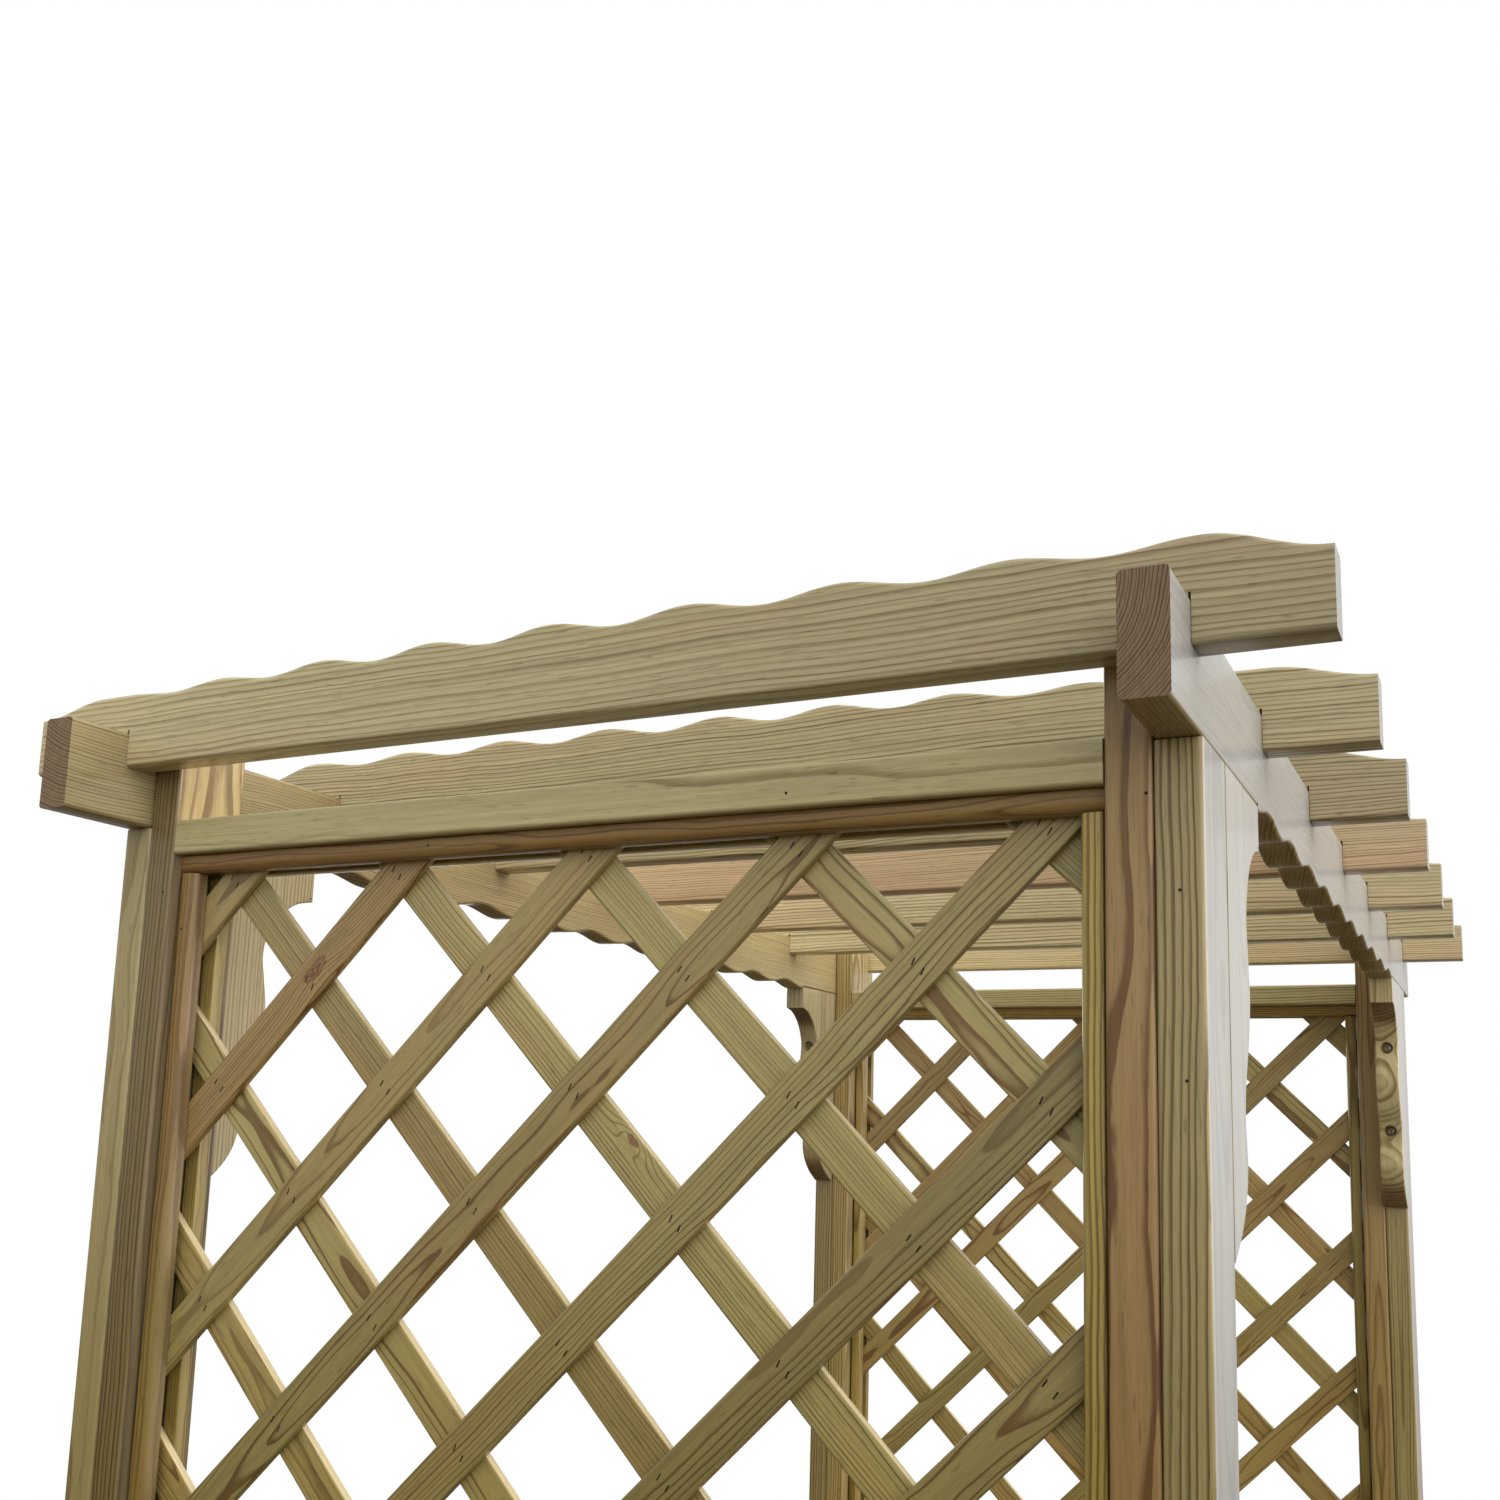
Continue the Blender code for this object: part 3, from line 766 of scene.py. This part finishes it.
def build_screw(end, y_sign, side, level, material):
    """Pan head with a round drive recess, shank and point."""
    node = f"screw_{end}_{side}_{level}"
    low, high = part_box(node)
    centre = ((low.x + high.x) / 2, (low.z + high.z) / 2)
    head, tip = (low.y, high.y) if y_sign > 0 else (high.y, low.y)
    profile = [(radius, head + y_sign * depth) for radius, depth in SCREW_HEAD]
    profile += [(SCREW_CORE_R, tip - y_sign * SCREW_POINT), (SCREW_TIP_R, tip)]
    one_body(node, turned(profile, centre, SCREW_SIDES), None, material)


def build_nails(material):
    """Small nail heads driven just under the surface of the front boards."""
    bodies = []
    for node, x, z in NAILS:
        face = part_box(node)[0].y
        profile = [(radius, face + depth) for radius, depth in NAIL_HEAD]
        bodies.append((turned(profile, (x, z), NAIL_SIDES), None))
    many_bodies("nails_front", bodies, material, [])


# -------- node materials

# Frequencies are per metre, across and along the fibres
WANDER, WANDER_REACH = 1.6, 0.024
SWELL, SWELL_REACH = (14.0, 6.0), 0.0085
RIPPLE, RIPPLE_REACH = (55.0, 20.0), 0.0014
PATCH, STREAK, FIBRE, FLECK = (16.0, 2.4), (190.0, 3.0), (1100.0, 24.0), (620.0, 45.0)
BLADE = (90.0, 700.0)                   # saw marks on end grain, along its two axes
PLANER_RIPPLE = 6.5 * MM
# Noise between the first two values becomes one between the third and the fourth
PATCH_WARMTH = (0.3, 0.7, -0.28, 0.28)
STREAK_SHADE = (0.25, 0.75, 0.84, 1.13)
FIBRE_SHADE = (0.25, 0.75, 0.87, 1.12)
FLECK_SHADE = (0.72, 0.80, 1.0, 0.70)
BLADE_SHADE = (0.3, 0.7, 0.80, 1.12)
FIBRE_ROUGHNESS = (0.2, 0.8, 0.55, 0.72)
YEAR_STRENGTH = (0.3, 0.7, 0.55, 1.25)
# Growth in years: how fast and how far their widths vary, and where latewood ends
YEAR_PACE, YEAR_REACH = 0.45, 1.6
YEAR_STEP, YEAR_ALONG = 1.37, 1.5       # paces of the strength from year to year
LATE_FULL, LATE_BREAK = 0.93, 0.955
# Knots, in units of their radius
KNOT_LENGTH = 0.42
KNOT_PUSH, KNOT_FALL = 3.2, -0.16       # years that the rings move, and how that fades
KNOT_EDGE, KNOT_RAGGED = (260.0, 160.0), (0.3, 0.7, -0.16, 0.16)
KNOT_HEART = (0.72, 1.0, 1.0, 0.0)
KNOT_RINGS, KNOT_COVER = 15.0, 0.85
KNOT_DARK, KNOT_LIGHT = (0.15, 0.065, 0.035), (0.30, 0.16, 0.075)
END_EARLY, END_LATE = (0.25, 0.165, 0.088), (0.07, 0.035, 0.016)
PAINTED_SHADE_HEIGHTS = (2.05, 1.25, 0.0, 1.0)           # painted shade, darker towards the bottom, grows between these heights
PAINTED_SHADE_TINT = (0.72, 0.70, 0.52)
# Painted glare, a painted highlight: colour, the way faces look, and the x where it is full
RIGHT_SIDE_GLARE = ((0.42, 0.44, 0.485), (1.0, 0.0, 0.0), 0.565)
SLAT_TOP_GLARE = ((0.62, 0.52, 0.33), (1.0, 0.0, 1.0), -FAR)
GLARE_TURN = (0.75, 0.97, 0.0, 0.82)   # from how a face is turned to how much glare is painted on it
FAINT = 0.12                            # share of that before the given x
GLARE_LATE, GLARE_GRAIN = 0.94, 0.4
# Metal
STAIN_FREQUENCY = 420.0
SCREW_STEEL = ((0.30, 0.27, 0.23), (0.16, 0.085, 0.045))        # (steel, rust)
STAPLE_STEEL = ((0.018, 0.015, 0.012), (0.025, 0.014, 0.008))


class Graph:
    """Short names for the shader nodes of a material or world."""

    def __init__(self, owner):
        owner.use_nodes = True
        self.owner = owner
        self.tree = owner.node_tree
        self.shader = self.tree.nodes.get("Principled BSDF")

    def put(self, socket, value):
        if isinstance(value, bpy.types.NodeSocket):
            self.tree.links.new(value, socket)
        else:
            socket.default_value = value

    def node(self, kind, **settings):
        node = self.tree.nodes.new(f"ShaderNode{kind}")
        for key, value in settings.items():
            setattr(node, key, value)
        return node

    def attribute(self, name):
        return self.split(self.node("Attribute", attribute_name=name).outputs["Vector"])

    def fill(self, node, *values):
        """Give the first sockets of a node their values, and return its result."""
        for socket, value in zip(node.inputs, values):
            self.put(socket, value)
        return node.outputs[0]

    def fill_named(self, node, values):
        for name, value in values.items():
            self.put(node.inputs[name], value)

    def math(self, operation, *values, clamp=False):
        return self.fill(self.node("Math", operation=operation, use_clamp=clamp), *values)

    def times(self, a, b):
        return self.math("MULTIPLY", a, b)

    def plus(self, a, b):
        return self.math("ADD", a, b)

    def length(self, a, b):
        return self.math("SQRT", self.plus(self.times(a, a), self.times(b, b)))

    def vector(self, x, y, z):
        return self.fill(self.node("CombineXYZ"), x, y, z)

    def split(self, vector):
        node = self.node("SeparateXYZ")
        self.fill(node, vector)
        return node.outputs

    def facing(self, vector, way):
        """How far a direction points one way, 1 for fully."""
        node = self.node("VectorMath", operation="DOT_PRODUCT")
        self.fill(node, vector, Vector(way).normalized())
        return node.outputs["Value"]

    def noise(self, vector, detail=2.0, roughness=0.5, output="Fac"):
        node = self.node("TexNoise")
        self.fill_named(node, {
            "Vector": vector, "Scale": 1.0, "Detail": detail, "Roughness": roughness})
        return node.outputs[output]

    def stretched(self, parts, frequencies, seed):
        """Coordinates for a noise that is longer along the fibres than across them."""
        across, along = frequencies
        return self.vector(self.times(parts[0], across), self.times(parts[1], across),
                           self.math("MULTIPLY_ADD", parts[2], along, seed))

    def remap(self, value, low, high, to_low, to_high, smooth=False):
        node = self.node("MapRange", interpolation_type="SMOOTHSTEP" if smooth else "LINEAR")
        return self.fill(node, value, low, high, to_low, to_high)

    def mix(self, factor, a, b, blend="MIX"):
        node = self.node("Mix", data_type="RGBA", blend_type=blend)
        self.put(node.inputs["Factor"], factor)
        for socket, colour in ((node.inputs[6], a), (node.inputs[7], b)):
            self.put(socket, (*colour, 1.0) if isinstance(colour, tuple) else colour)
        return node.outputs[2]

    def tinted(self, colour, tint):
        """A colour times another, or times a single value."""
        return self.mix(1.0, colour, tint, "MULTIPLY")

    def blend(self, factor, first, second):
        """Mix of two shaders."""
        return self.fill(self.node("MixShader"), factor, first, second)

    def surface(self, values):
        self.fill_named(self.shader, values)

    def relief(self, height, strength, distance):
        bump = self.node("Bump")
        self.fill_named(bump, {"Strength": strength, "Distance": distance, "Height": height})
        self.put(self.shader.inputs["Normal"], bump.outputs["Normal"])


def ring_radius(g, log, seed):
    """Distance from the pith in a stem that wanders, swells and ripples."""
    place = [log[0], log[1]]
    for coordinates, detail, reach in (
            (g.vector(g.times(log[2], WANDER), seed, 0.0), 1.5, WANDER_REACH),
            (g.stretched(log, SWELL, seed), 1.0, SWELL_REACH),
            (g.stretched(log, RIPPLE, seed), 2.0, RIPPLE_REACH)):
        shift = g.split(g.noise(coordinates, detail, output="Color"))
        for axis in (0, 1):
            moved = g.times(g.math("SUBTRACT", shift[axis], 0.5), reach)
            place[axis] = g.plus(place[axis], moved)
    return g.length(*place)


def latewood(g, log, rings, contrast, knot_ratio):
    """Share of dark latewood, which grows over the end of a year and breaks off sharply."""
    seed = rings[1]
    push = g.math("EXPONENT", g.times(g.times(knot_ratio, knot_ratio), KNOT_FALL))
    phase = g.plus(g.math("DIVIDE", ring_radius(g, log, seed), rings[0]),
                   g.times(push, KNOT_PUSH))
    years = g.noise(g.vector(g.times(phase, YEAR_PACE), seed, 3.0), 1.0)
    phase = g.plus(phase, g.times(years, YEAR_REACH))
    age = g.math("FRACT", phase)
    year = g.math("FLOOR", phase)
    rise = g.remap(age, rings[2], LATE_FULL, 0.0, 1.0, smooth=True)
    fall = g.remap(age, LATE_BREAK, 1.0, 1.0, 0.0, smooth=True)
    strength = g.noise(g.vector(g.times(year, YEAR_STEP), seed, g.times(log[2], YEAR_ALONG)), 0.0)
    share = g.times(g.times(rise, fall), g.remap(strength, *YEAR_STRENGTH))
    return g.math("MULTIPLY", share, contrast, clamp=True)


def painted_glare(g, colour, late_share, shade, pale, way, start):
    """Paints glare as a pale colour on the faces that look one way, fully where x is over start.
    """
    beyond = g.math("GREATER_THAN", g.split(g.node("TexCoord").outputs["Object"])[0], start)
    turned_to = g.facing(g.node("NewGeometry").outputs["Normal"], way)
    share = g.times(g.remap(turned_to, *GLARE_TURN, smooth=True),
                    g.remap(beyond, 0.0, 1.0, FAINT, 1.0))
    pale = g.tinted(pale, g.remap(late_share, 0.0, 1.0, 1.0, GLARE_LATE))
    pale = g.mix(GLARE_GRAIN, pale, g.tinted(pale, shade))
    return g.mix(share, colour, pale)


def treated_pine(name, early, late, glare_look):
    """Sawn pine: growth rings of a log, fibres, knots and end grain, with painted shade and
    glare.

    early and late are pairs of colours, one for green treated sapwood and one for warmer
    wood near the heart. bleaching is the colour, way and start of the painted glare, a
    painted highlight on faces seen at a glancing angle.
    """
    g = Graph(bpy.data.materials.new(name))
    log, rings, tone, knot = [g.attribute(part) for part in ("log", "rings", "tone", "knot")]
    sawn = g.node("Attribute", attribute_name="sawn").outputs["Fac"]
    seed = rings[1]
    # lighter for less depth, and lighter still where a side is painted paler as painted light
    paler = g.math("SUBTRACT", 1.0, tone[1])

    # A knot pushes the rings aside; without one its radius is 0
    knot_ratio = g.math("DIVIDE", g.length(g.times(knot[0], KNOT_LENGTH), knot[1]),
                        g.math("MAXIMUM", knot[2], 1e-5))
    late_share = latewood(g, log, rings, tone[2], knot_ratio)

    # Colour of early and late wood, with cooler and warmer patches
    patch = g.noise(g.stretched(log, PATCH, seed), 2.0)
    warmth = g.math("ADD", tone[0], g.remap(patch, *PATCH_WARMTH), clamp=True)
    colour = g.mix(late_share, g.mix(warmth, *early), g.mix(warmth, *late))

    # Streaks along the fibres and flecks of resin
    streak = g.noise(g.stretched(log, STREAK, seed), 3.0, 0.6)
    fibre = g.noise(g.stretched(log, FIBRE, seed), 2.0, 0.6)
    flecks = g.remap(g.noise(g.stretched(log, FLECK, seed), 0.0), *FLECK_SHADE)
    shade = g.times(g.remap(streak, *STREAK_SHADE), g.remap(fibre, *FIBRE_SHADE))
    shade = g.times(g.times(shade, flecks), paler)
    colour = g.tinted(colour, shade)
    # Painted shade: the wood is painted darker towards the bottom
    painted_low_shade = g.remap(g.split(g.node("TexCoord").outputs["Object"])[2], *PAINTED_SHADE_HEIGHTS, smooth=True)
    colour = g.mix(painted_low_shade, colour, g.tinted(colour, PAINTED_SHADE_TINT))

    # End grain drinks more of the treatment, its rings are strong and the saw left marks
    blade = g.noise(g.vector(g.times(log[0], BLADE[0]), g.times(log[1], BLADE[1]), seed), 2.0)
    end_colour = g.mix(late_share, END_EARLY, END_LATE)
    end_colour = g.tinted(end_colour, g.times(g.remap(blade, *BLADE_SHADE), paler))
    colour = g.mix(sawn, colour, end_colour)
    # Painted glare: a pale colour painted as a highlight on faces seen at a glancing angle
    colour = painted_glare(g, colour, late_share, shade, *glare_look)

    # The knots themselves
    edge = g.remap(g.noise(g.stretched(log, KNOT_EDGE, seed), 1.0), *KNOT_RAGGED)
    ragged = g.plus(knot_ratio, edge)
    knot_rings = g.remap(g.math("SINE", g.times(ragged, KNOT_RINGS)), -1.0, 1.0, 0.0, 1.0)
    cover = g.times(g.remap(ragged, *KNOT_HEART, smooth=True), KNOT_COVER)
    colour = g.mix(cover, colour, g.mix(knot_rings, KNOT_DARK, KNOT_LIGHT))

    # Relief: hard latewood ridges, fibres, planer ripple and saw marks, with their weights
    ripples = g.math("SINE", g.times(log[2], 2 * math.pi / PLANER_RIPPLE))
    height = 0.0
    for part, weight in ((late_share, 0.25), (fibre, 0.45), (streak, 0.30), (ripples, 0.02),
                         (g.times(sawn, blade), 0.9), (flecks, 0.2)):
        height = g.math("MULTIPLY_ADD", part, weight, height)
    g.relief(height, 0.45, 0.5 * MM)

    # Planed faces seen at a glancing angle shine white, and face on hardly at all
    roughness = g.math("MULTIPLY_ADD", late_share, -0.06, g.remap(fibre, *FIBRE_ROUGHNESS))
    g.surface({
        "Base Color": colour, "Roughness": g.math("MULTIPLY_ADD", sawn, 0.15, roughness),
        "Specular IOR Level": 0.05, "Coat Weight": 1.0, "Coat IOR": 1.45,
        "Coat Roughness": 0.25,
    })
    return g.owner


def dull_steel(name, colour, rust):
    """Zinc-plated steel that has dulled, with brown stains."""
    g = Graph(bpy.data.materials.new(name))
    fine = g.node("VectorMath", operation="SCALE")
    g.put(fine.inputs[0], g.node("TexCoord").outputs["Object"])
    g.put(fine.inputs["Scale"], STAIN_FREQUENCY)
    stain = g.noise(fine.outputs[0], 3.0, 0.6)
    share = g.remap(stain, 0.40, 0.62, 0.0, 1.0, smooth=True)
    g.surface({
        "Base Color": g.mix(share, colour, rust),
        "Metallic": g.remap(share, 0.0, 1.0, 0.9, 0.35),
        "Roughness": g.remap(share, 0.0, 1.0, 0.34, 0.7),
    })
    g.relief(stain, 0.3, 0.1 * MM)
    return g.owner


# By kind of board: early wood, cooler and warmer, then late wood, cooler and warmer
PALETTES = {
    "rafter": (((0.538, 0.475, 0.288), (0.595, 0.437, 0.27)),
               ((0.253, 0.201, 0.09), (0.304, 0.167, 0.082))),
    "rail": (((0.478, 0.432, 0.23), (0.46, 0.34, 0.175)),
             ((0.219, 0.18, 0.07), (0.235, 0.141, 0.055))),
    "beam": (((0.37, 0.303, 0.135), (0.386, 0.262, 0.105)),
             ((0.177, 0.13, 0.04), (0.2, 0.108, 0.033))),
    "post": (((0.423, 0.361, 0.184), (0.405, 0.299, 0.152)),
             ((0.181, 0.13, 0.052), (0.166, 0.094, 0.033))),
    "stile": (((0.414, 0.327, 0.148), (0.378, 0.241, 0.111)),
              ((0.177, 0.127, 0.042), (0.177, 0.088, 0.033))),
    "bead": (((0.44, 0.351, 0.112), (0.38, 0.218, 0.076)),
             ((0.204, 0.145, 0.037), (0.17, 0.081, 0.024))),
    "lattice": (((0.425, 0.368, 0.166), (0.44, 0.305, 0.132)),
                ((0.195, 0.132, 0.05), (0.23, 0.118, 0.045))),
    "bracket": (((0.5, 0.44, 0.25), (0.5, 0.37, 0.2)),
                ((0.246, 0.187, 0.076), (0.255, 0.145, 0.06))),
}


# -------- assembly

def build():
    wood = {}
    for slot, colours in PALETTES.items():
        # painted glare on the upper edges of the slats, elsewhere on the faces turned to the
        # right
        glare_look = SLAT_TOP_GLARE if slot == "lattice" else RIGHT_SIDE_GLARE
        wood[slot] = treated_pine(f"pine_{slot}", *colours, glare_look)
    steel = dull_steel("steel_screw", *SCREW_STEEL)
    dark_steel = dull_steel("steel_staple", *STAPLE_STEEL)

    for side, x_sign in SIDES:
        node = f"beam_{side}"
        build_beam(node, x_sign, board_of(node, 1, X * x_sign), wood["beam"])
    for number in range(1, RAFTERS + 1):
        build_rafter(number, board_of(f"rafter_{number}", 0, -Y), wood["rafter"])
    for end, y_sign in ENDS:
        out = Y * y_sign
        for side, x_sign in SIDES:
            for kind in ("post", "stile"):
                node = f"{kind}_{end}_{side}"
                bar(node, 2, (ARRIS,) * 4, out, wood, kind)
            board = board_of(f"bracket_{end}_{side}", 2, X * x_sign)
            build_bracket(end, y_sign, side, board, wood["bracket"])
            for level in SCREW_SEATS:
                build_screw(end, y_sign, side, level, steel)
        for level in ("top", "bottom"):
            bar(f"rail_{end}_{level}", 0, (ARRIS,) * 4, out, wood, "rail")
        for face in ("outer", "inner"):
            low_y = (y_sign < 0) == (face == "outer")
            for side, x_sign in SIDES:
                node = f"bead_{end}_{face}_{side}"
                radii = bead_radii(x_sign < 0, not low_y)
                bar(node, 2, radii, out, wood, "bead")
            for level in ("top", "bottom"):
                node = f"bead_{end}_{face}_{level}"
                radii = bead_radii(not low_y, level == "bottom")
                bar(node, 0, radii, out, wood, "bead")
        build_lattice(end, y_sign, wood["lattice"], dark_steel)
    build_nails(dark_steel)


def bead_radii(a_high, b_high):
    """Corner radii of a bead: the large one is away from the lattice, in the opening.

    The flags say on which side of the section's two axes that corner lies.
    """
    radii = [BEAD_ARRIS] * 4
    radii[((0, 3), (1, 2))[a_high][b_high]] = BEAD_ROUND
    return radii


# -------- studio

WHITE = (1.0, 1.0, 1.0, 1.0)
FLOOR_RADIUS, FLOOR_SIDES, FLOOR_DROP = 5.0, 96, 0.5 * MM
FLOOR_COLOUR = (0.70, 0.69, 0.66, 1.0)
FLOOR_FADE = (1.6, 4.6, 0.0, 1.0)       # into white between these distances
SKY_POLE = (0.85, -0.25, 0.45)
SKY_COLOURS = ((0.60, 0.60, 0.56, 1.0), (2.2, 2.12, 1.95, 1.0))
GROUND_GLOW = (0.12, 0.09, 0.055)
HORIZON = (-0.25, 0.05, 0.0, 1.0)
CAMERA_PLACE = (0.79503, -2.21283, 1.73568)
CAMERA_TURN = (99.1935, -1.9605, 28.1153)       # degrees
CAMERA_LENS, CAMERA_SENSOR = 37.339, 36.0       # millimetres
CAMERA_SHIFT = (0.0358, 0.0900)
SOFT_BOXES = (              # (name, place, power, colour)
    ("key", (4.5, 0.4, 2.8), 100.0, (1.0, 0.94, 0.84)),
    ("fill", (-4.2, 4.4, 3.2), 60.0, (1.0, 0.97, 0.92)),
)
SOFT_BOX_SIZE = 3.0
SOFT_BOX_AIM = Vector((0.0, 0.0, 1.8))


def build_floor():
    """Pale floor that fades into the white surroundings."""
    mesh = bpy.data.meshes.new("floor")
    shape = bmesh.new()
    bmesh.ops.create_circle(shape, cap_ends=True, segments=FLOOR_SIDES, radius=FLOOR_RADIUS)
    shape.to_mesh(mesh)
    shape.free()
    floor = placed("floor", mesh)
    floor.location.z = -FLOOR_DROP
    g = Graph(bpy.data.materials.new("pale_floor"))
    place = g.split(g.node("NewGeometry").outputs["Position"])
    g.surface({"Base Color": FLOOR_COLOUR, "Roughness": 0.8})
    glow = g.node("Emission")
    g.put(glow.inputs["Color"], WHITE)
    fade = g.remap(g.length(place[0], place[1]), *FLOOR_FADE, smooth=True)
    both = g.blend(fade, g.shader.outputs[0], glow.outputs[0])
    g.put(g.tree.nodes["Material Output"].inputs[0], both)
    mesh.materials.append(g.owner)
    floor.visible_diffuse = False
    floor.visible_glossy = False


def build_sky():
    """White surroundings, lighter towards the upper right, dim and warm from below."""
    g = Graph(bpy.data.worlds.new("studio"))
    bpy.context.scene.world = g.owner
    g.tree.nodes.clear()
    way = g.node("TexCoord").outputs["Generated"]
    ramp = g.node("ValToRGB")
    ramp.color_ramp.interpolation = "EASE"
    for element, colour in zip(ramp.color_ramp.elements, SKY_COLOURS):
        element.color = colour
    g.put(ramp.inputs[0], g.facing(way, SKY_POLE))
    above = g.remap(g.split(way)[2], *HORIZON, smooth=True)
    light, white = g.node("Background"), g.node("Background")
    g.put(light.inputs[0], g.mix(above, GROUND_GLOW, ramp.outputs[0]))
    g.put(white.inputs[0], WHITE)
    seen = g.node("LightPath").outputs["Is Camera Ray"]
    both = g.blend(seen, light.outputs[0], white.outputs[0])
    g.put(g.node("OutputWorld").inputs[0], both)


def build_camera():
    """From the right of the front panel, at head height, looking up at the roof corner."""
    data = bpy.data.cameras.new("camera")
    data.sensor_width = CAMERA_SENSOR
    data.lens = CAMERA_LENS
    data.shift_x, data.shift_y = CAMERA_SHIFT
    camera = placed("camera", data)
    camera.location = CAMERA_PLACE
    camera.rotation_euler = [math.radians(a) for a in CAMERA_TURN]
    bpy.context.scene.camera = camera


def build_lights():
    """A large soft box behind the right side, and a weaker one for the far side."""
    for name, place, power, colour in SOFT_BOXES:
        data = bpy.data.lights.new(name, "AREA")
        data.size = SOFT_BOX_SIZE
        data.energy = power
        data.color = colour
        light = placed(name, data)
        light.location = place
        aim = SOFT_BOX_AIM - light.location
        light.rotation_euler = aim.to_track_quat("-Z", "Y").to_euler()


build()
build_floor()
build_sky()
build_lights()
build_camera()
bpy.context.scene.view_settings.view_transform = "Standard"
